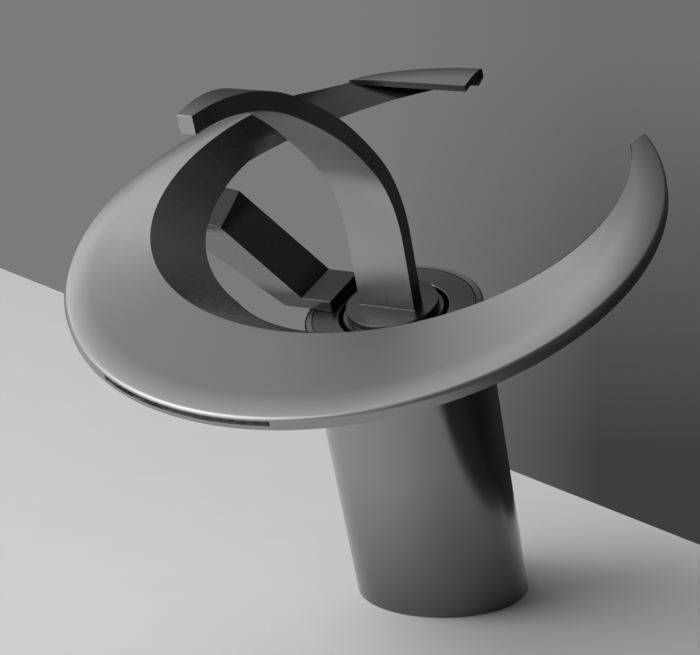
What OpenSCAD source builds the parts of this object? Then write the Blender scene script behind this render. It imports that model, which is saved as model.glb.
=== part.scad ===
// Deck-mounted single-lever basin faucet with a leaning round body and a
// tilted crescent spout that floats round the arched lever.
// Origin: centre of the body's foot on the deck. +Z up, -Y is the basin side, -X is hot.

/* [Body] */
// Diameter of the round body
body_d = 50; // [48:0.5:56]
// Length of the body along its leaning axis
body_len = 97; // [94:0.5:110]
// Lean of the body towards the basin, degrees
lean = 19.7; // [16:0.1:23]
// Wall of the outer sleeve
shell_wall = 2; // [1.5:0.1:2]
// Sliding clearance between fitted pieces
slip = 0.1; // [0.05:0.01:0.15]
// Thickness of the collar that closes the top of the body
collar_t = 3.5; // [3:0.1:5]
// Bevel on the top edge of the sleeve
shell_bevel = 0.6; // [0.2:0.1:1]

/* [Spout ring] */
// Outer radius of the crescent
ring_r = 81; // [78:0.5:84]
// How much smaller the inner crest circle is than the ring
crest_in = 15; // [14:0.25:17]
// Distance of the crest circle's centre behind the ring's centre
crest_back = 17.5; // [16.5:0.25:19]
// Tilt of the crescent towards the basin, degrees
ring_tilt = 25; // [23:0.25:27]
// Distance of the ring's centre in front of the body's top
ring_ahead = 19.8; // [18.8:0.1:20.8]
// Height of the ring's centre above the body's top
ring_rise = 28.2; // [27.2:0.1:29.2]
// Height of the outer rim
rim_t = 4.2; // [3.8:0.1:5]
// Fall of the underside towards the middle, per unit of radius
under_slope = 0.17; // [0.14:0.01:0.2]
// Run of the inner wall per unit of depth
wall_run = 1.32; // [1.2:0.02:1.4]
// How far in from the rim the top face starts to roll off
crown_w = 8; // [6:0.5:10]
// Radius of that roll-off
crown_r = 30; // [26:1:40]
// Radius of the bead between the roll-off and the upright rim
bead_r = 1.2; // [0.8:0.1:1.4]
// Thickness of the sheet over the waterway
sheet_t = 1.6; // [1.3:0.1:2]
// Width of the rim wall round the waterway
rim_w = 1.8; // [1.5:0.1:2.2]
// Thickness of the inner wall, measured level
inner_w = 1.9; // [1.6:0.1:2.4]
// Thickness of the cover under the waterway
cover_t = 1.4; // [1:0.1:1.6]
// Angle of the waterway's left end, measured from the front
water_left = 110; // [104:1:120]
// Angle of the waterway's right end, measured from the front
water_right = 42; // [30:1:55]
// Half angle of the outlet slot in the front rim
slot_half = 19; // [12:1:24]
// How far the outlet slot is turned to the left of the front
slot_turn = 8; // [0:1:12]
// Height of the outlet slot
slot_h = 1.4; // [1:0.1:1.4]
// Width of the left tail, from its straight edge back to the ring's circle
tail_w = 12; // [10:0.25:14]
// Thickness of the left tail
tail_t = 2; // [1.6:0.1:2.6]
// Radius of the flatter edge at the back left
flat_r = 220; // [160:10:300]
// Distance that the flatter edge lies inside the ring's circle
flat_in = 3.2; // [2:0.1:4]
// How much smaller the upright inner wall on the right is than the crest circle
side_in = 9; // [6:0.5:11]
// Distance of the right horn's tip inside the ring's radius
horn_in = 20; // [17:0.25:23]
// Slant of the cut that sharpens the right horn, degrees
horn_slant = 14.5; // [10:0.5:18]

/* [Neck] */
// Width of the water neck, front to back
neck_w = 16.5; // [15:0.5:17]
// Rise of the arm's top, degrees
neck_rise = 42.5; // [41:0.5:44]
// Rise of the arm's underside, degrees
neck_under = 34.5; // [33:0.5:36]
// Distance of the neck's inner face from the body axis
neck_in = 16.8; // [16.7:0.05:17.2]
// Distance of the neck's outer face from the body axis, where it leaves the body
neck_out = 22.6; // [22.2:0.1:22.7]
// Distance from the body axis to where the arm's top starts to rise
neck_bend = 26; // [25:0.25:27]
// Distance of the arm's end inside the ring's radius
end_in = 14; // [13:0.5:17]
// Offset of the neck's middle behind the body axis
neck_shift = 3.4; // [3:0.1:3.6]
// Height of the neck's flat part above the body top
neck_step = 3.4; // [3:0.1:4]
// Wall of the neck round its waterway
neck_wall = 0.9; // [0.8:0.05:1.1]
// Width of the waterway in the neck
neck_water_w = 12; // [9:0.5:12.5]
// Depth of the neck's tenon in the body
neck_tenon = 10; // [8:0.5:12]

/* [Handle] */
// Radius of the ball hub
ball_r = 15.2; // [15:0.05:15.3]
// Depth of the lever pivot under the body top
pivot_drop = 6; // [5.8:0.1:6.5]
// Clearance of the hub in the bore of the body
hub_gap = 0.2; // [0.15:0.05:0.3]
// Radius of the lever's round foot
foot_r = 12.9; // [11:0.1:13.5]
// Thickness of the lever's round foot
foot_t = 2.5; // [2.2:0.1:3]
// Thickness of the lever strap
strap_t = 4.8; // [4:0.1:6]
// Width of the strap at its foot
strap_w = 17; // [14:0.5:18]
// Width of the strap at its tip
tip_w = 4; // [3:0.2:6]
// Place of the strap in front of the body axis
strap_front = 0.6; // [0:0.1:1]
// Length of the strap's straight part
strap_rise = 21.5; // [20:0.5:24]
// Radius of the strap's first bend
bend1_r = 47; // [44:0.5:50]
// Angle of the strap's first bend, degrees
bend1_a = 34.5; // [32:0.5:36]
// Radius of the strap's middle, nearly straight part
bend2_r = 141; // [130:1:150]
// Angle of the strap's middle part, degrees
bend2_a = 17.5; // [15:0.5:19]
// Radius of the strap's end bend
bend3_r = 57; // [54:0.5:60]
// Angle of the strap's end bend, degrees
bend3_a = 38; // [34:0.5:40]
// Travel of the lever from closed to fully open, degrees
lever_travel = 20; // [14:1:20]

/* [Cartridge] */
// Radius of the cartridge housing
cart_r = 12.5; // [12.3:0.1:12.6]
// Radius of the cartridge nose
nose_r = 7.6; // [7.2:0.1:7.7]
// Radius of the rotor's neck
rotor_r = 5.5; // [5.2:0.1:5.6]
// Radius of the ceramic seat disc
disc_r = 11.1; // [10.8:0.1:11.2]
// Radius of the moving ceramic disc
mover_r = 7.9; // [7.4:0.1:8]
// Thickness of each ceramic disc
disc_t = 3.9; // [3.4:0.1:4]
// Length of the stem from the pivot to its lower ball
stem_arm = 16; // [15.5:0.1:16.3]
// Width of the stem's square shank
stem_w = 5; // [4.4:0.1:5]
// Radius of the pivot pin
pin_r = 1.25; // [1:0.05:1.4]
// Radius of the hot and cold ports in the discs
port_r = 1.8; // [1.5:0.1:2]
// Radius of the mixed water port in the discs
out_r = 2.4; // [2:0.1:2.6]

/* [Fixing] */
// Thickness of the deck that the faucet clamps
deck_t = 30; // [5:1:40]
// Radius of the mounting stud
stud_r = 3.95; // [3.9:0.01:3.96]
// Length of the stud below the deck face
stud_below = 62; // [55:1:80]
// Place of the stud in front of the origin
stud_front = 11; // [10:0.5:12]
// Radius of the inlet threads
inlet_r = 4.5; // [4:0.1:5]
// Sideways place of each inlet
inlet_x = 8.5; // [8:0.25:9.5]
// Place of the inlets behind the origin
inlet_y = 3; // [2:0.5:4]
// Length of the inlet threads
inlet_depth = 11; // [9:0.5:12]
// Thickness of the foot gasket
gasket_t = 2; // [1.5:0.1:2.5]
// Room round each inlet thread in the foot gasket
gasket_room = 1.5; // [0.8:0.1:2]
// Outer radius of the clamp washers
washer_r = 23; // [21:0.5:26]

/* [Hidden] */
$fn = 96;
eps = 0.05;
big = 300;
steel = [0.62, 0.62, 0.61];
dark_steel = [0.45, 0.45, 0.45];
brass = [0.72, 0.60, 0.34];
rubber = [0.12, 0.12, 0.12];
ceramic = [0.92, 0.91, 0.88];
plastic = [0.85, 0.85, 0.82];

// Body stack, heights along the leaning axis
body_r = body_d / 2;
bore_shell = body_r - shell_wall;
block_r = bore_shell - slip;
top = body_len;
block_top = top - collar_t - slip;
pivot = top - pivot_drop;
hub_bore = ball_r + hub_gap;
hub_low = pivot - 2;
// Lowest point of the hub's rim when the lever is fully open
hub_sweep = pivot - 2 * cos(lever_travel) - ball_r * sin(lever_travel);
nut_top = hub_sweep - 0.6;
nut_flange = 3;
nut_skirt = 6;
nut_r = cart_r + 1.9;
nut_low = nut_top - nut_flange - nut_skirt;
cart_top = nut_top - nut_flange;
cart_wall = cart_r - disc_r - slip;
cart_roof = 2;
nose_top = cart_top + 5.4;
flange_t = 5.4;
flange_top = cart_top - cart_roof - slip;
flange_low = flange_top - flange_t;
coupler_plate = 0.8;
coupler_low = flange_low - coupler_plate - 2 * slip;
mover_low = coupler_low - disc_t;
seat_low = mover_low - slip - disc_t;
base_flange = 2.7;
base_plug = 4.5;
base_low = seat_low - base_plug - slip - base_flange;
seal_t = 1.8;
seal_gap = 1.15;
seat_floor = base_low - seal_gap;

// Ports in the discs and the cartridge base
port_x = 5.8;
port_y = 2.5;
out_y = -6.2;
seal_mean = 2.9;

// Rotor slot and coupler
slot_w = stem_w + 2 * slip;
half_travel = lever_travel / 2;
slide = stem_arm * sin(half_travel);
ball_end = 2.4;
shank_r = 2;
pocket_w = 10;
pocket_l = 19;
pocket_h = 4;
coupler_w = pocket_w - 2 * slip;
coupler_l = 13;
boss_r = 3;
well_r = 5.4;
well_deep = 1.6;
rotor_top = pivot + 2;
cavity_r = 8.2;
cavity_top = pivot + 4.1;

// Lever foot
foot_low = top + slip;
foot_top = foot_low + foot_t;
stem_top = foot_low + 0.75;
strap_base = foot_top - 0.5;

// Inlets and stud seat in the block
thread_top = gasket_t + inlet_depth;
strainer_r = inlet_r - 0.55;
strainer_t = 1;
feed_r = port_r + 0.6;
stud_seat = 15.5;

// Neck
ear_t = 2.5;
ear_w = 23;
tenon_low = block_top - neck_tenon;
seal_pad = 0.5;
riser_out = 20.7;
riser_w = 8;
channel_t = riser_out - neck_in - neck_wall;
channel_x = -riser_out + channel_t / 2;
channel_low = seat_floor - 9;
cross_r = 2.3;
neck_x0 = neck_in - slip * 2;
neck_gap = 0.1;
under_start = 32;
neck_end = ring_r - end_in;
port_in = neck_end - 8.5;
port_out = neck_end - 3.5;

// Ring
crest_r = ring_r - crest_in;
side_r = crest_r - side_in;
horn_x = ring_r - horn_in;
tail_edge = ring_r - tail_w;
sector_in = ring_r - 59;
function under(r) = -(rim_t + under_slope * (ring_r - r));
deep = 22;

module in_body() rotate([lean, 0, 0]) children();
module at_stud(z) translate([0, -stud_front, z]) children();
module at_inlets(z) for (s = [-1, 1]) translate([s * inlet_x, inlet_y, z]) children();
module in_ring() translate([0, -body_len * sin(lean) - ring_ahead, body_len * cos(lean) + ring_rise])
    rotate([ring_tilt, 0, 0]) children();
module above(z) translate([-big / 2, -big / 2, z]) cube(big);
module tube(r1, r2, h) difference() {
    cylinder(r = r1, h = h);
    translate([0, 0, -eps]) cylinder(r = r2, h = h + 2 * eps);
}
// Straight round passage between two points
module passage(a, b, r) {
    v = b - a;
    len = norm(v);
    translate(a) rotate([0, acos(v[2] / len), atan2(v[1], v[0])]) rotate([0, 0, 50]) cylinder(r = r, h = len);
}
// Passage that starts a little way back down its own line, inside the inlet
module feed(a, b) passage(a - 2.5 * (b - a) / norm(b - a), b, feed_r);
// A point of the leaning body, given in the upright frame
function from_body(p) = [p[0], p[1] * cos(lean) - p[2] * sin(lean), p[1] * sin(lean) + p[2] * cos(lean)];

// Body, in the body frame but for its level foot
module body_shell() color(steel) difference() {
    intersection() {
        in_body() translate([0, 0, -30]) rotate_extrude()
            polygon([[0, 0], [body_r, 0], [body_r, top + 30 - shell_bevel],
                     [body_r - shell_bevel, top + 30], [0, top + 30]]);
        above(0);
    }
    in_body() translate([0, 0, -40]) cylinder(r = bore_shell, h = top + 80);
    in_body() sleeve_screw_hole(0.15);
}
// Flush grub screw at the back that holds the sleeve on the block
sleeve_screw_r = 1.95;
sleeve_screw_len = 7.4;
sleeve_screw_z = 30;
module at_sleeve_screw(from) translate([0, 0, sleeve_screw_z]) rotate([-90, 0, 0])
    translate([0, 0, block_r - sleeve_screw_len + 1.4 + from]) children();
module sleeve_screw_hole(clear) at_sleeve_screw(-1) cylinder(r = sleeve_screw_r + clear, h = 14);
module shell_screw() color(dark_steel) in_body() difference() {
    at_sleeve_screw(0) cylinder(r = sleeve_screw_r, h = sleeve_screw_len);
    at_sleeve_screw(5.6) cylinder(r = 1.15, h = 4, $fn = 6);
}
module base_gasket() color(rubber) difference() {
    intersection() {
        in_body() translate([0, 0, -30]) cylinder(r = block_r, h = 60);
        above(0);
    }
    above(gasket_t - eps);
    at_stud(-1) cylinder(r = stud_r + 0.4, h = 2 * gasket_t);
    at_inlets(-1) cylinder(r = inlet_r + gasket_room, h = 2 * gasket_t);
}
module top_collar() color(steel) in_body() difference() {
    translate([0, 0, block_top + slip]) cylinder(r = block_r, h = collar_t);
    translate([0, 0, top - 20]) cylinder(r = hub_bore, h = 40);
    translate([-body_r, neck_shift - neck_w / 2 - 2 * slip, top - 20])
        cube([body_r - neck_x0, neck_w + 4 * slip, 40]);
}

module block_bores() {
    translate([0, 0, seat_floor]) cylinder(r = cart_r + slip, h = top);
    translate([0, 0, nut_low - 0.5]) cylinder(r = nut_r + slip / 2, h = top);
    translate([0, 0, nut_top + 0.1]) cylinder(r = hub_bore, h = top);
}
// Room for the neck's tenon and ears
module neck_room(low, w) translate([0, 0, low]) intersection() {
    cylinder(r = block_r + 5, h = 30);
    translate([-block_r - 6, neck_shift - w / 2 - slip, 0]) cube([block_r + 6 - neck_x0, w + 2 * slip, 30]);
}
module neck_pocket() {
    neck_room(tenon_low - seal_pad - slip, neck_w);
    neck_room(block_top - ear_t - slip, ear_w);
}
module water_slot(low, h) translate([channel_x - channel_t / 2, neck_shift - riser_w / 2, low])
    cube([channel_t, riser_w, h]);
module waterway_block() color(brass) difference() {
    intersection() {
        in_body() translate([0, 0, -30]) cylinder(r = block_r, h = block_top + 30);
        above(gasket_t);
    }
    in_body() block_bores();
    in_body() neck_pocket();
    in_body() water_slot(channel_low, top);
    // Mixed water leaves the seat and crosses to the neck's channel
    in_body() translate([0, out_y, channel_low]) cylinder(r = out_r, h = seat_floor);
    in_body() passage([0, out_y, channel_low + 3], [channel_x, neck_shift - 1, channel_low + 3], cross_r);
    // Hot and cold inlets
    at_inlets(0) rotate_extrude()
        polygon([[0, -1], [inlet_r, -1], [inlet_r, thread_top], [strainer_r + 0.05, thread_top],
                 [strainer_r + 0.05, thread_top + 2], [0, thread_top + 2]]);
    for (s = [-1, 1])
        feed([s * inlet_x, inlet_y, thread_top + 2], from_body([s * port_x, port_y, seat_floor + 2]));
    at_stud(-1) cylinder(r = stud_r + 0.05, h = stud_seat + 1.5);
    in_body() sleeve_screw_hole(0.05);
}

// Spout ring, in its own tilted frame: top face at z = 0
// Angle at which the roll-off's arc runs into the bead's, and the height of the bead's centre
meet_a = asin((crown_w - bead_r) / (crown_r - bead_r));
bead_z = (crown_r - bead_r) * cos(meet_a) - crown_r;
roll_steps = 8;
bead_steps = 6;
// Points of an arc about [x, z], from angle a off the vertical to angle b, without the first
function arc(x, z, r, a, b, n) =
    [for (i = [1 : n]) let (t = a + (b - a) * i / n) [x + r * sin(t), z + r * cos(t)]];
// Disc whose flat top rolls off into a bead at the rim
module crowned(r) rotate_extrude()
    polygon(concat([[0, -deep], [0, 0], [r - crown_w, 0]],
                   arc(r - crown_w, -crown_r, crown_r, 0, meet_a, roll_steps),
                   arc(r - bead_r, bead_z, bead_r, meet_a, 90, bead_steps), [[r, -deep]]));
module rim_profile()
    polygon([[15, 1], [ring_r + 1, 1], [ring_r + 1, under(ring_r + 1)], [15, under(15)]]);
// Funnel cut of the inner wall; grow moves the wall outwards
module funnel(grow = 0) translate([0, crest_back, -deep])
    cylinder(r1 = crest_r - wall_run * deep + grow, r2 = crest_r + wall_run * 3 + grow, h = deep + 3);
// Open back of the crescent: right of the tail, and left of the slanted cut to the horn's tip
horn_y = sqrt(pow(ring_r, 2) - pow(horn_x, 2));
horn_run = 31;
module ring_gap() translate([0, 0, -deep]) linear_extrude(2 * deep)
    polygon([[0, horn_y - horn_run], [0, big], [horn_x + (big - horn_y) * tan(horn_slant), big],
             [horn_x - horn_run * tan(horn_slant), horn_y - horn_run]]);
// Lower funnel: a flatter cone that leaves a wider wall towards the back
low_run = 2.05;
low_r = ring_r - 1;
low_x = 16;
low_y = -4.5;
low_z = 7;
module low_funnel(grow = 0) translate([low_x, low_y, -deep])
    cylinder(r1 = low_r - low_run * (deep - low_z) + grow, r2 = low_r + low_run * (low_z + 3) + grow,
             h = deep + 3);
// Upright cut that takes the slope off the right-hand wall
side_turn = 11;
module side_cut(grow = 0) translate([0, crest_back, -deep]) rotate([0, 0, side_turn])
    translate([crest_r - side_r, 0, 0]) cylinder(r = side_r + grow, h = deep + 3);
module hole(grow = 0) {
    intersection() {
        funnel(grow);
        low_funnel(grow);
    }
    side_cut(grow);
}
module tail() intersection() {
    translate([0, 0, -deep]) cylinder(r = ring_r + 1, h = deep + 1);
    translate([-ring_r - 1, tail_edge, -tail_t]) cube([ring_r + 1, ring_r, tail_t + 1]);
}
// Everything inside the flatter edge at the back left
flat_turn = 139;
module flat_side() rotate([0, 0, -90 - flat_turn]) translate([ring_r - flat_in - flat_r, 0, -deep])
    cylinder(r = flat_r, h = deep + 1);
// Region of the waterway: low is what is left above the underside
module water_sector(r_out, ceiling, low, a_left, a_right) rotate([0, 0, -90 - a_left])
    rotate_extrude(angle = a_left + a_right)
        polygon([[sector_in, ceiling], [r_out, ceiling], [r_out, under(r_out) + low],
                 [sector_in, under(sector_in) + low]]);
module waterway() difference() {
    water_sector(ring_r - rim_w, -sheet_t, -3, water_left, water_right);
    hole(inner_w);
}
module slot_arc() rotate([0, 0, -90 - slot_turn - slot_half])
    rotate_extrude(angle = 2 * slot_half) children();
module slot_cut() slot_arc() translate([ring_r - rim_w - 1, -sheet_t - slot_h]) square([rim_w + 3, slot_h]);
module spout_ring() color(steel) in_ring() difference() {
    intersection() {
        union() {
            difference() {
                rotate_extrude() rim_profile();
                hole();
            }
            tail();
        }
        crowned(ring_r);
        flat_side();
    }
    ring_gap();
    waterway();
    slot_cut();
}
module spout_cover() color(dark_steel) difference() {
    in_ring() difference() {
        water_sector(ring_r - rim_w - slip, 0, 0, water_left - 0.2, water_right - 0.2);
        hole(inner_w + slip);
        water_sector(ring_r, 2 * sheet_t, cover_t, 180, 179);
    }
    in_body() neck_port();
}
// Comb of straight ways that lays the sheet of water, just inside the slot
comb_gap = 2.4;
comb_way = 1.4;
comb_out = ring_r - rim_w - slip;
comb_in = comb_out - 4.9;
module outlet_comb() color(plastic) in_ring() difference() {
    slot_arc() polygon([[comb_in, -sheet_t - slip], [comb_out, -sheet_t - slip],
                        [comb_out, under(comb_out) + cover_t + slip],
                        [comb_in, under(comb_in) + cover_t + slip]]);
    for (a = [-slot_half + comb_gap / 2 : comb_gap : slot_half]) rotate([0, 0, a - 90 - slot_turn])
        translate([comb_in - 1, -comb_way / 2, -sheet_t - 1.5]) cube([8, comb_way, 1.1]);
}

// Neck, in the body frame
module arm_outline() polygon([
    [-neck_in, top + 2 * slip], [-neck_in, top + neck_step], [-neck_bend, top + neck_step],
    [-neck_end, top + neck_step + (neck_end - neck_bend) * tan(neck_rise)],
    [-neck_end, top + 2 * slip + (neck_end - under_start) * tan(neck_under)],
    [-under_start, top + 2 * slip], [-neck_out, top + 2 * slip]]);
module across(w) translate([0, neck_shift + w / 2, 0]) rotate([90, 0, 0]) linear_extrude(w) children();
module neck_port() translate([-port_out, neck_shift - neck_water_w / 2, top + 10])
    cube([port_out - port_in, neck_water_w, 40]);
// Everything above a cone that runs a given distance under the ring
module keep_clear(drop) rotate_extrude()
    polygon([[sector_in, under(sector_in) - drop], [big, under(big) - drop], [big, 60], [sector_in, 60]]);
module neck_riser(low, high, r, w) translate([0, 0, low]) intersection() {
    cylinder(r = r, h = high - low);
    translate([-body_r - 5, neck_shift - w / 2, 0]) cube([body_r + 5 - neck_in, w, high - low]);
}
module spout_neck() color(dark_steel) difference() {
    in_body() union() {
        across(neck_w) arm_outline();
        neck_riser(block_top - slip, top + 2 * slip, neck_out + 0.1, neck_w);
        neck_riser(block_top - ear_t, block_top, neck_out + 0.1, ear_w);
        neck_riser(tenon_low, block_top, neck_out + 0.1, neck_w);
    }
    in_ring() keep_clear(neck_gap);
    difference() {
        in_body() across(neck_water_w) offset(delta = -neck_wall) arm_outline();
        in_ring() keep_clear(neck_gap + 2 * neck_wall);
    }
    in_body() water_slot(tenon_low - 1, top - tenon_low + 2.5);
    in_body() neck_port();
}
module neck_seal() color(rubber) in_body() difference() {
    translate([0, 0, tenon_low - seal_pad]) intersection() {
        cylinder(r = neck_out + 0.1, h = seal_pad - slip / 2);
        translate([channel_x - channel_t / 2 - 2, neck_shift - riser_w / 2 - 1.2, 0])
            cube([channel_t + 2.7, riser_w + 2.4, seal_pad]);
    }
    water_slot(tenon_low - 2, 4);
}

// Cartridge, in the body frame
module ports(r_in, r_mix, low, h) {
    for (s = [-1, 1]) translate([s * port_x, port_y, low]) cylinder(r = r_in, h = h);
    translate([0, out_y, low]) cylinder(r = r_mix, h = h);
}
module retaining_nut() color(brass) in_body() difference() {
    translate([0, 0, nut_low]) cylinder(r = nut_r, h = nut_flange + nut_skirt);
    translate([0, 0, nut_low - 1]) cylinder(r = cart_r + slip, h = nut_skirt + 1);
    translate([0, 0, nut_low]) cylinder(r = nose_r + slip, h = 40);
    for (a = [45 : 90 : 315]) rotate([0, 0, a]) translate([nose_r + 3.6, 0, nut_top - 1.5])
        cylinder(r = 1.2, h = 4);
}
module cartridge_housing() color(plastic) in_body() difference() {
    union() {
        translate([0, 0, seat_low - base_plug])
            cylinder(r = cart_r, h = cart_top - seat_low + base_plug - slip);
        translate([0, 0, cart_top - 1]) cylinder(r = nose_r, h = nose_top - cart_top + 1);
    }
    translate([0, 0, seat_low - base_plug - 1])
        cylinder(r = cart_r - cart_wall, h = flange_top + slip - seat_low + base_plug + 1);
    translate([0, 0, cart_top - 10]) cylinder(r = rotor_r + 0.08, h = 40);
}
module cartridge_base() color(plastic) in_body() difference() {
    union() {
        translate([0, 0, base_low]) cylinder(r = cart_r, h = base_flange);
        translate([0, 0, base_low + base_flange - 1]) cylinder(r = disc_r, h = base_plug + 1);
    }
    ports(port_r, out_r, base_low - 1, 20);
    for (p = seal_places) translate([p[0], p[1], base_low - 1]) tube(seal_mean + 1, seal_mean - 1, 1.75);
}
seal_places = [[-port_x, port_y], [port_x, port_y], [0, out_y]];
module cartridge_seals() color(rubber) in_body() for (p = seal_places)
    translate([p[0], p[1], seat_floor + seal_t / 2 + 0.02]) rotate_extrude()
        translate([seal_mean, 0]) circle(r = seal_t / 2);
module fixed_disc() color(ceramic) in_body() difference() {
    translate([0, 0, seat_low]) cylinder(r = disc_r, h = disc_t);
    ports(port_r, out_r, seat_low - 1, disc_t + 2);
}
module moving_disc() color(ceramic) in_body() translate([0, slide, mover_low]) difference() {
    cylinder(r = mover_r, h = disc_t - slip);
    // Blind well underneath that joins the inlet ports to the outlet port
    translate([0, -1.2, -1]) intersection() {
        cylinder(r = well_r, h = well_deep + 1);
        translate([-6, -6, 0]) cube([12, 9, 4]);
    }
    translate([0, 0, disc_t - 1.2]) cylinder(r = boss_r + slip, h = 2);
}
module disc_coupler() color(plastic) in_body() translate([0, slide, coupler_low]) difference() {
    union() {
        cylinder(r = mover_r, h = coupler_plate);
        translate([-coupler_w / 2, -coupler_l / 2, coupler_plate - eps])
            cube([coupler_w, coupler_l, pocket_h - 0.2]);
        translate([0, 0, -1]) cylinder(r = boss_r, h = 1.2);
    }
    cylinder(r = ball_end + slip, h = coupler_plate + pocket_h);
}
module swivel_carrier() color(plastic) in_body() difference() {
    union() {
        translate([0, 0, flange_low]) cylinder(r = disc_r, h = flange_t);
        translate([0, 0, flange_top - 1]) cylinder(r = rotor_r, h = rotor_top - flange_top + 1);
    }
    translate([-pocket_w / 2, -pocket_l / 2, flange_low - 1]) cube([pocket_w, pocket_l, pocket_h + 1]);
    translate([-slot_w / 2, -4.6, flange_low]) cube([slot_w, 9.2, rotor_top]);
    translate([-rotor_r - 1, 0, pivot]) rotate([0, 90, 0]) cylinder(r = pin_r + 0.03, h = 2 * rotor_r + 2);
}
module stem_pin() color(steel) in_body() translate([-rotor_r + slip, 0, pivot]) rotate([0, 90, 0])
    cylinder(r = pin_r, h = 2 * (rotor_r - slip));
module cartridge_stem() color(brass) in_body() difference() {
    union() {
        translate([-stem_w / 2, -stem_w / 2, pivot]) cube([stem_w, stem_w, stem_top - pivot]);
        translate([0, 0, pivot]) intersection() {
            rotate([0, 90, 0]) cylinder(r = stem_w / 2, h = stem_w, center = true);
            cube([stem_w, stem_w, stem_w], center = true);
        }
        translate([0, 0, pivot]) rotate([180 + half_travel, 0, 0]) {
            cylinder(r = shank_r, h = stem_arm);
            translate([0, 0, stem_arm]) sphere(r = ball_end);
        }
    }
    translate([-stem_w, 0, pivot]) rotate([0, 90, 0]) cylinder(r = pin_r + 0.05, h = 2 * stem_w);
}

// Lever, in the body frame
module handle_hub() color(steel) in_body() difference() {
    intersection() {
        translate([0, 0, pivot]) sphere(r = ball_r);
        translate([0, 0, hub_low]) cylinder(r = ball_r + 1, h = top - hub_low);
    }
    intersection() {
        translate([0, 0, pivot]) sphere(r = cavity_r);
        translate([0, 0, hub_low - 20]) cylinder(r = cavity_r + 1, h = cavity_top - hub_low + 20);
    }
    translate([-slot_w / 2, -slot_w / 2, cavity_top - 1]) cube([slot_w, slot_w, 10]);
    on_lock(0) cylinder(r = lock_r + 0.05, h = 20);
}
// Arc of the strap that starts at the local origin, upright, and bends forward
module bend(r, a) translate([r, 0]) intersection() {
    difference() {
        circle(r = r + strap_t / 2, $fn = 180);
        circle(r = r - strap_t / 2, $fn = 180);
    }
    polygon([[0, -eps], [-2 * r, -eps], [-2 * r, 2 * r * tan(a / 2)], [-2 * r * cos(a), 2 * r * sin(a)]]);
}
module after(r, a) translate([r * (1 - cos(a)), r * sin(a)]) rotate(-a) children();
module strap_side() {
    translate([strap_front - strap_t / 2, strap_base - 0.5]) square([strap_t, strap_rise + 0.5]);
    translate([strap_front, strap_base + strap_rise]) {
        bend(bend1_r, bend1_a);
        after(bend1_r, bend1_a) {
            bend(bend2_r, bend2_a);
            after(bend2_r, bend2_a) bend(bend3_r, bend3_a);
        }
    }
}
// Outline of the strap from above: full width, then two tapers to the tip
taper1 = 22;
taper2 = 50;
taper3 = 74;
tip_front = 90;
mid_w = strap_w * 0.6;
module strap_plan() polygon([
    [-strap_w / 2, 40], [-strap_w / 2, -taper1], [-mid_w / 2, -taper2],
    [-tip_w / 2, -taper3], [-tip_w / 2, -tip_front], [tip_w / 2, -tip_front], [tip_w / 2, -taper3],
    [mid_w / 2, -taper2], [strap_w / 2, -taper1], [strap_w / 2, 40]]);
module strap() intersection() {
    rotate([90, 0, -90]) translate([0, 0, -strap_w]) linear_extrude(2 * strap_w) strap_side();
    linear_extrude(2 * top) strap_plan();
}
// Inclined set screw that locks the hub on the stem
lock_r = 1.25;
lock_rise = 35;
lock_len = 3.4;
lock_from = lock_r * tan(lock_rise) + 0.05;
module on_lock(from) translate([0, stem_w / 2, pivot + 5.7]) rotate([lock_rise - 90, 0, 0])
    translate([0, 0, from]) children();
module handle_arch() color(steel) in_body() difference() {
    union() {
        translate([0, 0, foot_low]) cylinder(r = foot_r, h = foot_t);
        strap();
    }
    translate([-slot_w / 2, -slot_w / 2, foot_low - 1])
        cube([slot_w, slot_w, stem_top + slip / 2 - foot_low + 1]);
    on_lock(0) cylinder(r = lock_r + 0.05, h = 20);
}
module handle_screw() color(steel) in_body() on_lock(lock_from) difference() {
    cylinder(r = lock_r, h = lock_len - lock_from);
    translate([0, 0, lock_len - lock_from - 1.2]) cylinder(r = 0.65, h = 2, $fn = 6);
}
module screw_plug() color(steel) in_body() intersection() {
    on_lock(lock_len + 0.3) cylinder(r = lock_r, h = 10);
    translate([-5, 0, 0]) cube([10, 20, foot_top - 0.05]);
}

// Inlets and deck fixing, upright
strainer_hole = 0.8;
module inlet_strainers() color(steel) at_inlets(thread_top + 0.5) difference() {
    cylinder(r = strainer_r, h = strainer_t);
    for (a = [0 : 60 : 300]) rotate([0, 0, a]) translate([2.4, 0, -1]) cylinder(r = strainer_hole, h = 3);
    translate([0, 0, -1]) cylinder(r = strainer_hole, h = 3);
}
module mounting_stud() color(steel) at_stud(-stud_below) cylinder(r = stud_r, h = stud_below + stud_seat);
// Washer with an open mouth at the back for the two hoses
hose_room = inlet_r + 1.5;
module horseshoe(t) difference() {
    cylinder(r = washer_r, h = t);
    at_stud(-1) cylinder(r = stud_r + 0.35, h = t + 2);
    at_inlets(-1) cylinder(r = hose_room, h = t + 2);
    translate([-inlet_x, inlet_y - hose_room, -1]) cube([2 * inlet_x, 40, t + 2]);
    translate([-inlet_x - hose_room, inlet_y, -1]) cube([2 * (inlet_x + hose_room), 40, t + 2]);
}
rubber_t = 3;
plate_t = 2.5;
nut_h = 6.5;
nut_hex_r = 7.5;
rubber_low = -deck_t - rubber_t;
plate_low = rubber_low - plate_t;
module rubber_washer() color(rubber) translate([0, 0, rubber_low]) horseshoe(rubber_t);
module clamp_plate() color(steel) translate([0, 0, plate_low]) horseshoe(plate_t);
module mounting_nut() color(brass) at_stud(plate_low - nut_h) difference() {
    cylinder(r = nut_hex_r, h = nut_h, $fn = 6);
    translate([0, 0, -1]) cylinder(r = stud_r + 0.05, h = nut_h + 2);
}

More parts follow.
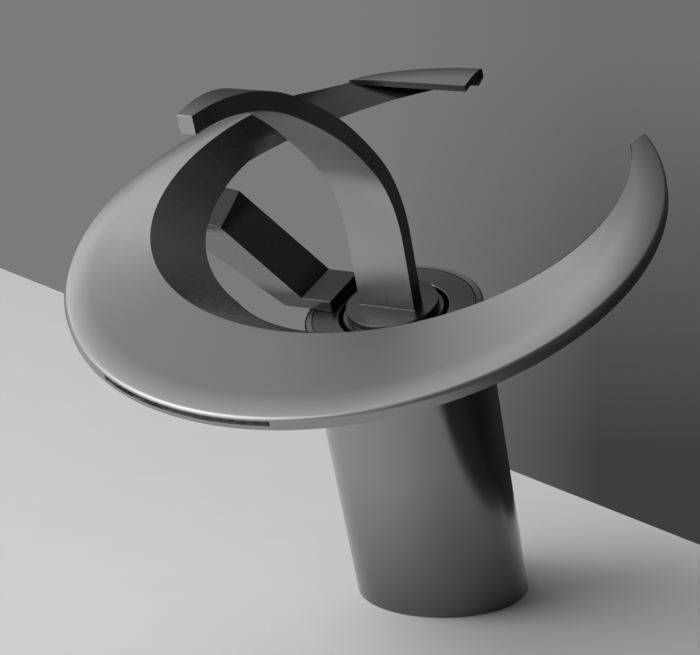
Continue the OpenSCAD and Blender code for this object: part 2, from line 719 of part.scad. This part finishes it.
body_shell();
waterway_block();
top_collar();
base_gasket();
shell_screw();
spout_ring();
spout_cover();
outlet_comb();
spout_neck();
neck_seal();
cartridge_housing();
cartridge_base();
cartridge_seals();
fixed_disc();
retaining_nut();
inlet_strainers();
mounting_stud();
rubber_washer();
clamp_plate();
mounting_nut();
swivel_carrier();
stem_pin();
disc_coupler();
moving_disc();
cartridge_stem();
handle_hub();
handle_arch();
handle_screw();
screw_plug();
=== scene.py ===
import math
import bpy
from mathutils import Matrix, Vector


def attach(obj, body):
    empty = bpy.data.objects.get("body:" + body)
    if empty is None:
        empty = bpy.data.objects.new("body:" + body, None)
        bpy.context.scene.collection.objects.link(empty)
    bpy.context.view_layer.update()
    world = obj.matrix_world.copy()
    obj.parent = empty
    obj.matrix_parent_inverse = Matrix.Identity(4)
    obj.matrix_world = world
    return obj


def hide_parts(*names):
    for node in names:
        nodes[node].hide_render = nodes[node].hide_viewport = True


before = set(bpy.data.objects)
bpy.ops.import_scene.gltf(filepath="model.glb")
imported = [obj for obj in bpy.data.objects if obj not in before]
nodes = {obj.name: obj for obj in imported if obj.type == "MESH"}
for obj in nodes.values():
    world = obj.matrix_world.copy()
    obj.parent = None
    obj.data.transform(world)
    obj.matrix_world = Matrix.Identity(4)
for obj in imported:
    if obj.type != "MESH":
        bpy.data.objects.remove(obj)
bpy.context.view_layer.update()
scene = bpy.context.scene
scene.view_settings.view_transform = "Standard"

# Shared with the solids, in metres and radians: the body's lean, the ring's tilt and centre
LEAN = math.radians(19.7)
TILT = math.radians(25.0)
RING_AT = Vector((0, -0.0525, 0.1195))
RING = Matrix.Translation(RING_AT) @ Matrix.Rotation(TILT, 4, "X")
BODY_AXIS = (0, -math.sin(LEAN), math.cos(LEAN))
RING_AXIS = (0, -math.sin(TILT), math.cos(TILT))


# Shader nodes
def new_material(name):
    material = bpy.data.materials.new(name)
    material.use_nodes = True
    tree = material.node_tree
    return material, tree, tree.nodes["Principled BSDF"]


def put(tree, kind, **values):
    node = tree.nodes.new(kind)
    for key, value in values.items():
        setattr(node, key, value)
    return node


def maths(tree, operation, first, second=None):
    node = put(tree, "ShaderNodeMath", operation=operation)
    for i, value in enumerate([first, second]):
        if value is None:
            continue
        if isinstance(value, (int, float)):
            node.inputs[i].default_value = value
        else:
            tree.links.new(value, node.inputs[i])
    return node.outputs[0]


def times(tree, first, second):
    return maths(tree, "MULTIPLY", first, second)


def local_xyz(tree, turn, shift=(0, 0, 0)):
    """The surface point in the leaning or tilted frame, split into x, y and z."""
    point = put(tree, "ShaderNodeTexCoord").outputs["Object"]
    mapping = put(tree, "ShaderNodeMapping", vector_type="TEXTURE")
    mapping.inputs["Location"].default_value = shift
    mapping.inputs["Rotation"].default_value = (turn, 0, 0)
    tree.links.new(point, mapping.inputs["Vector"])
    parts = put(tree, "ShaderNodeSeparateXYZ")
    tree.links.new(mapping.outputs[0], parts.inputs[0])
    return parts.outputs[0], parts.outputs[1], parts.outputs[2]


def combine(tree, x, y, z):
    node = put(tree, "ShaderNodeCombineXYZ")
    for i, value in enumerate((x, y, z)):
        tree.links.new(value, node.inputs[i])
    return node.outputs[0]


def noise(tree, point, scale, detail, rough):
    node = put(tree, "ShaderNodeTexNoise")
    node.inputs["Scale"].default_value = scale
    node.inputs["Detail"].default_value = detail
    node.inputs["Roughness"].default_value = rough
    tree.links.new(point, node.inputs["Vector"])
    return node.outputs["Fac"]


def ranged(tree, value, to_low, to_high, from_low=0.3, from_high=0.7):
    """Turn one range into another; the default one holds most of what a noise gives."""
    node = put(tree, "ShaderNodeMapRange")
    node.inputs["From Min"].default_value = from_low
    node.inputs["From Max"].default_value = from_high
    node.inputs["To Min"].default_value = to_low
    node.inputs["To Max"].default_value = to_high
    tree.links.new(value, node.inputs["Value"])
    return node.outputs[0]


# Where on a noise the darker and the lighter colour lie
DARKER_AT, LIGHTER_AT = 0.25, 0.75


def tinted(tree, value, base, spread):
    """The base colour, from darker to lighter by the spread as the value grows."""
    node = put(tree, "ShaderNodeValToRGB")
    darker, lighter = node.color_ramp.elements
    darker.color = (*[part * (1 - spread) for part in base], 1)
    lighter.color = (*[min(1, part * (1 + spread)) for part in base], 1)
    darker.position = DARKER_AT
    lighter.position = LIGHTER_AT
    tree.links.new(value, node.inputs[0])
    return node.outputs[0]


def bumped(tree, shader, height, strength, depth):
    node = put(tree, "ShaderNodeBump")
    node.inputs["Strength"].default_value = strength
    node.inputs["Distance"].default_value = depth
    tree.links.new(height, node.inputs["Height"])
    tree.links.new(node.outputs[0], shader.inputs["Normal"])


# Materials
# How fast the brush lines change along x, y and z, or on the ring along radius, angle and z
LINES = {
    "ring": (60.0, 0.05, 60.0),
    "round": (0.6, 0.6, 60.0),
    "across": (1.0, 50.0, 50.0),
    "along": (60.0, 1.2, 1.2),
}
# Scale, detail and roughness of each noise, and the share of the two in satin metal
LINE_NOISE, LINE_SHARE = (60.0, 4.0, 0.7), 0.6
CLOUD_NOISE, CLOUD_SHARE = (28.0, 3.0, 0.5), 0.4
STAIN_NOISE = (40.0, 2.0, 0.5)
GRAIN_DETAIL, GRAIN_ROUGH = 4.0, 0.6
# Depths of the lines and of the grain, in metres
LINE_DEPTH, GRAIN_DEPTH = 0.00004, 0.00003
# How far a surface gets smoother and rougher than its middle, and how smooth grain may get
SMOOTHER, ROUGHER = 0.05, 0.06
GRAIN_SPREAD, GRAIN_SMOOTHEST = 0.06, 0.05


def round_the_ring(tree, point):
    """Direction round the ring's axis at the point."""
    arm = put(tree, "ShaderNodeVectorMath", operation="SUBTRACT")
    arm.inputs[1].default_value = tuple(RING_AT)
    tree.links.new(point, arm.inputs[0])
    cross = put(tree, "ShaderNodeVectorMath", operation="CROSS_PRODUCT")
    cross.inputs[1].default_value = RING_AXIS
    tree.links.new(arm.outputs[0], cross.inputs[0])
    unit = put(tree, "ShaderNodeVectorMath", operation="NORMALIZE")
    tree.links.new(cross.outputs[0], unit.inputs[0])
    return unit.outputs[0]


def along_the_body(tree):
    """Direction of the body's axis."""
    axis = put(tree, "ShaderNodeCombineXYZ")
    for i, value in enumerate(BODY_AXIS):
        axis.inputs[i].default_value = value
    return axis.outputs[0]


def brushed(name, way, base, rough, spread=0.05, bump=0.1, stretch=0.0, painted_shade=()):
    """Satin metal with fine brush lines, in one of the ways that LINES names.

    Each entry of the last argument is painted shade: it names an axis, where on it the metal is
    darkened by the factor, where it is no longer darkened, and the factor.
    """
    material, tree, shader = new_material(name)
    shader.inputs["Metallic"].default_value = 1.0
    if way == "ring":
        x, y, z = local_xyz(tree, TILT, tuple(RING_AT))
        radius = maths(tree, "SQRT", maths(tree, "ADD", times(tree, x, x), times(tree, y, y)))
        course = (radius, maths(tree, "ARCTAN2", x, y), z)
    else:
        x, y, z = course = local_xyz(tree, LEAN)
    line = combine(tree, *(times(tree, part, rate) for part, rate in zip(course, LINES[way])))
    fine = noise(tree, line, *LINE_NOISE)
    point = put(tree, "ShaderNodeTexCoord").outputs["Object"]
    cloud = noise(tree, point, *CLOUD_NOISE)
    both = maths(tree, "ADD", times(tree, fine, LINE_SHARE), times(tree, cloud, CLOUD_SHARE))
    colour = tinted(tree, both, base, spread)
    # Painted shade: darken the colour along each listed axis
    for axis, full, none, factor in painted_shade:
        share = ranged(tree, {"y": y, "z": z}[axis], factor, 1.0, full, none)
        dimmed = put(tree, "ShaderNodeVectorMath", operation="SCALE")
        tree.links.new(colour, dimmed.inputs[0])
        tree.links.new(share, dimmed.inputs["Scale"])
        colour = dimmed.outputs[0]
    tree.links.new(colour, shader.inputs["Base Color"])
    finish = ranged(tree, both, rough - SMOOTHER, rough + ROUGHER)
    tree.links.new(finish, shader.inputs["Roughness"])
    bumped(tree, shader, fine, bump, LINE_DEPTH)
    if stretch:
        shader.inputs["Anisotropic"].default_value = stretch
        tangent = round_the_ring(tree, point) if way == "ring" else along_the_body(tree)
        tree.links.new(tangent, shader.inputs["Tangent"])
    return material


def grained(name, base, rough, metallic=0.0, spread=0.06, scale=400.0, bump=0.15):
    """Moulded, cast or machined surface with a fine grain."""
    material, tree, shader = new_material(name)
    shader.inputs["Metallic"].default_value = metallic
    point = put(tree, "ShaderNodeTexCoord").outputs["Object"]
    grain = noise(tree, point, scale, GRAIN_DETAIL, GRAIN_ROUGH)
    stain = noise(tree, point, *STAIN_NOISE)
    tree.links.new(tinted(tree, stain, base, spread), shader.inputs["Base Color"])
    smooth = max(GRAIN_SMOOTHEST, rough - GRAIN_SPREAD)
    coarse = min(1, rough + GRAIN_SPREAD)
    tree.links.new(ranged(tree, grain, smooth, coarse), shader.inputs["Roughness"])
    bumped(tree, shader, grain, bump, GRAIN_DEPTH)
    return material


ring_metal = brushed("satin_ring", "ring", (0.42, 0.42, 0.415), 0.37, stretch=0.75)
# Painted shade: the inner wall is a darker copy of the ring's metal, darkened further towards the
# back
wall_metal_painted_shade = brushed("satin_wall_painted_shade", "ring", (0.33, 0.33, 0.325), 0.27, spread=0.04, bump=0.05,
                     painted_shade=[("y", 0.046, 0.022, 0.38)])
rim_metal = brushed("satin_rim", "ring", (0.36, 0.36, 0.355), 0.46)
# Painted shade: body, strap and neck are darkened towards their foot, and the neck also at its
# upper end; the neck is also a darker copy of the metal
body_metal_painted_shade = brushed("satin_body_painted_shade", "round", (0.34, 0.34, 0.335), 0.19, spread=0.03, bump=0.03,
                     stretch=0.3, painted_shade=[("z", 0.012, 0.055, 0.50)])
strap_metal_painted_shade = brushed("satin_strap_painted_shade", "along", (0.38, 0.38, 0.375), 0.30, spread=0.04, bump=0.06,
                      painted_shade=[("z", 0.0985, 0.112, 0.30)])
neck_metal_painted_shade = brushed("satin_neck_painted_shade", "across", (0.24, 0.24, 0.235), 0.28,
                     painted_shade=[("z", 0.101, 0.104, 0.45), ("z", 0.1205, 0.1185, 0.40)])
# Painted shade: the top collar and hub get a darker copy of the metal
top_metal_painted_shade = brushed("satin_top_painted_shade", "round", (0.17, 0.17, 0.168), 0.26, bump=0.05)
turned = brushed("turned_steel", "round", (0.50, 0.50, 0.50), 0.28, spread=0.08)
brass = grained("machined_brass", (0.72, 0.58, 0.33), 0.3, metallic=1.0)
rubber = grained("black_rubber", (0.02, 0.02, 0.02), 0.75, spread=0.2)
plastic = grained("white_plastic", (0.80, 0.80, 0.77), 0.45)
ceramic = grained("white_ceramic", (0.88, 0.87, 0.84), 0.18, spread=0.03, scale=900.0, bump=0.05)

LOOKS = [
    (ring_metal, ["spout_ring", "spout_cover"]),
    (body_metal_painted_shade, ["body_shell"]),
    (strap_metal_painted_shade, ["handle_arch"]),
    (neck_metal_painted_shade, ["spout_neck"]),
    (top_metal_painted_shade, ["top_collar", "handle_hub"]),
    (turned, ["shell_screw", "stem_pin", "handle_screw", "screw_plug", "inlet_strainers",
              "mounting_stud", "clamp_plate"]),
    (brass, ["waterway_block", "retaining_nut", "mounting_nut", "cartridge_stem"]),
    (rubber, ["base_gasket", "neck_seal", "cartridge_seals", "rubber_washer"]),
    (plastic, ["outlet_comb", "cartridge_housing", "cartridge_base", "swivel_carrier",
               "disc_coupler"]),
    (ceramic, ["fixed_disc", "moving_disc"]),
]
look_of = {name: material for material, names in LOOKS for name in names}
for name, solid in nodes.items():
    solid.data.materials.clear()
    solid.data.materials.append(look_of[name])

# Crescent
# Brushed on top, with a smoother inner wall, a duller rim, and painted shade on wall and tail
# ends.
# Its faces are sorted in the ring's own frame, where z is 0 at the crest.
TOP_FACE, INNER_WALL, RIM, TAIL_END = range(4)
TOP_LEVEL = 0.95        # a top face's normal points up by more than this
TOP_DEPTH = 0.0011      # and it lies less deep than this
END_LEVEL = 0.2         # a tail end's normal points up or down by less than this
END_FROM = 0.06         # it lies behind this y
END_INSIDE = 0.0795     # and within this radius, inside the rim
CREST_BACK = 0.0175     # y of the crest circle's centre

ring_mesh = nodes["spout_ring"].data.copy()
ring_mesh.materials.clear()
# The inner wall and the tail ends get darker metals, painted shade
for material in (ring_metal, wall_metal_painted_shade, rim_metal, neck_metal_painted_shade):
    ring_mesh.materials.append(material)
to_ring = RING.inverted()
for face in ring_mesh.polygons:
    at = to_ring @ face.center
    way = to_ring.to_3x3() @ face.normal
    if way.z > TOP_LEVEL and at.z > -TOP_DEPTH:
        face.material_index = TOP_FACE
    elif abs(way.z) < END_LEVEL and at.y > END_FROM and at.xy.length < END_INSIDE:
        face.material_index = TAIL_END
    elif way.x * at.x + way.y * (at.y - CREST_BACK) < 0:
        face.material_index = INNER_WALL
    else:
        face.material_index = RIM
crescent = bpy.data.objects.new("crescent", ring_mesh)
scene.collection.objects.link(crescent)
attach(crescent, "body")
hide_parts("spout_ring")

# Rounded edges, in metres and radians
EDGE_WIDTH = 0.0003
EDGE_ANGLE = math.radians(32)
WELD_WIDTH = 0.00001


def soften(piece):
    """Small rounded edges on a solid that keeps its shape."""
    weld = piece.modifiers.new("weld", "WELD")
    weld.merge_threshold = WELD_WIDTH
    bevel = piece.modifiers.new("edge", "BEVEL")
    bevel.width = EDGE_WIDTH
    bevel.segments = 2
    bevel.limit_method = "ANGLE"
    bevel.angle_limit = EDGE_ANGLE
    bevel.harden_normals = False
    normals = piece.modifiers.new("shade", "WEIGHTED_NORMAL")
    normals.keep_sharp = False


soften(crescent)
for name in ("top_collar", "spout_cover", "spout_neck", "handle_arch"):
    soften(nodes[name])

# Floor: a pale deck up to its back edge, and a dark one right of the photographed view, painted
# shade that darkens what the body reflects on its right
BEYOND = 3.0            # how far the back edge runs on past the two points seen on it
DARK_FROM = 0.019       # how far past the right one of them the dark deck starts


def plane(name, points, material):
    mesh = bpy.data.meshes.new(name)
    mesh.from_pydata(points, [], [tuple(range(len(points)))])
    deck = bpy.data.objects.new(name, mesh)
    scene.collection.objects.link(deck)
    mesh.materials.append(material)


left_seen = Vector((-0.4093, 0.3018, 0))
right_seen = Vector((0.0547, 0.0720, 0))
along = (right_seen - left_seen).normalized()
left_back = tuple(left_seen - along * BEYOND)
right_back = tuple(right_seen + along * BEYOND)
left_front = (-3.2, -2.6, 0)
right_front = (3.2, -2.6, 0)
# The border between the two decks, from the back edge to the front
border_back = tuple(right_seen + along * DARK_FROM)
border_bend = (0.092, -0.021, 0)
border_front = (1.3, -2.6, 0)
pale_paint = grained("pale_floor", (0.92, 0.92, 0.91), 0.8, spread=0.01, scale=900.0, bump=0.02)
plane("floor", [left_back, left_front, border_front, border_bend, border_back], pale_paint)
# The dark deck is painted shade
shade_deck_paint = grained("painted_shade_floor", (0.05, 0.05, 0.05), 0.8, spread=0.01, scale=900.0, bump=0.02)
plane("floor_right", [border_front, right_front, right_back, border_back, border_bend], shade_deck_paint)

# Key light: its place, the place it points at, its side in metres and its power in watts
KEY_AT = Vector((-0.84, -0.92, 0.84))
KEY_AIM = Vector((0, -0.04, 0.1))
KEY_SIDE = 1.1
KEY_POWER = 15.0
key_data = bpy.data.lights.new("key", "AREA")
key_data.shape = "RECTANGLE"
key_data.size = KEY_SIDE
key_data.size_y = KEY_SIDE
key_data.energy = KEY_POWER
key = bpy.data.objects.new("key", key_data)
scene.collection.objects.link(key)
key.location = KEY_AT
key.rotation_euler = (KEY_AIM - KEY_AT).to_track_quat("-Z", "Y").to_euler()

# World: soft patches of light, and a backdrop with painted shade that only the camera sees
# Of each patch its azimuth from the front and elevation in degrees, sharpness, strength
PATCHES = [
    ((-62, 42), 6.0, 1.15),
    ((-125, 58), 7.0, 0.42),
    ((-40, -50), 3.0, 0.22),
    ((20, 0), 3.0, 0.11),
    ((92, 0), 18.0, 0.13),
    ((170, 15), 8.0, 0.05),
]
AMBIENT = 0.013
BACKDROP = 0.198
# Painted shade: the backdrop darkens in this direction over this span, by more below than above
RIGHTWARDS, RIGHT_SPAN = (0.8725, 0.4886, 0), (0.0, 0.12)
DARKER_BELOW, DARKER_ABOVE, HEIGHT_SPAN = 0.15, 0.04, (-0.29, -0.10)
# Sockets of a mix node for colours
COLOUR_A, COLOUR_B, COLOUR_OUT = 6, 7, 2

world = bpy.data.worlds.new("studio")
scene.world = world
world.use_nodes = True
sky = world.node_tree
view_way = put(sky, "ShaderNodeTexCoord").outputs["Generated"]


def direction(azimuth, elevation):
    a, e = math.radians(azimuth), math.radians(elevation)
    return (math.sin(a) * math.cos(e), -math.cos(a) * math.cos(e), math.sin(e))


def facing(way):
    """How far the view points in the way, from -1 to 1."""
    node = put(sky, "ShaderNodeVectorMath", operation="DOT_PRODUCT")
    node.inputs[1].default_value = way
    sky.links.new(view_way, node.inputs[0])
    return node.outputs["Value"]


total = AMBIENT
for aim, sharpness, strength in PATCHES:
    front = maths(sky, "MAXIMUM", facing(direction(*aim)), 0.0)
    patch = times(sky, maths(sky, "POWER", front, sharpness), strength)
    total = maths(sky, "ADD", patch, total)
side = ranged(sky, facing(RIGHTWARDS), 0.0, 1.0, *RIGHT_SPAN)
fall = ranged(sky, facing((0, 0, 1)), DARKER_BELOW, DARKER_ABOVE, *HEIGHT_SPAN)
shade = maths(sky, "SUBTRACT", BACKDROP, times(sky, side, fall))
mix = put(sky, "ShaderNodeMix", data_type="RGBA")
seen = put(sky, "ShaderNodeLightPath").outputs["Is Camera Ray"]
sky.links.new(seen, mix.inputs[0])
sky.links.new(combine(sky, total, total, total), mix.inputs[COLOUR_A])
sky.links.new(combine(sky, shade, shade, shade), mix.inputs[COLOUR_B])
sky.links.new(mix.outputs[COLOUR_OUT], sky.nodes["Background"].inputs["Color"])

# Camera, solved from the photograph's outlines, in metres and degrees
FOCAL_PX, PHOTO_PX, SENSOR_MM = 2051.0, 700, 36
CAMERA_AT = (0.25871, -0.51924, 0.21869)
CAMERA_AZIMUTH, CAMERA_ELEVATION = 29.246, 13.506
NEAREST, FARTHEST = 0.05, 20
cam_data = bpy.data.cameras.new("camera")
cam = bpy.data.objects.new("camera", cam_data)
scene.collection.objects.link(cam)
cam_data.sensor_width = SENSOR_MM
cam_data.lens = FOCAL_PX / PHOTO_PX * SENSOR_MM
backward = Vector(direction(CAMERA_AZIMUTH, CAMERA_ELEVATION))
swing = math.radians(CAMERA_AZIMUTH)
right = Vector((math.cos(swing), math.sin(swing), 0))
turn = Matrix((right, backward.cross(right), backward)).transposed().to_4x4()
cam.matrix_world = Matrix.Translation(CAMERA_AT) @ turn
cam_data.clip_start, cam_data.clip_end = NEAREST, FARTHEST
scene.camera = cam

bpy.context.view_layer.update()
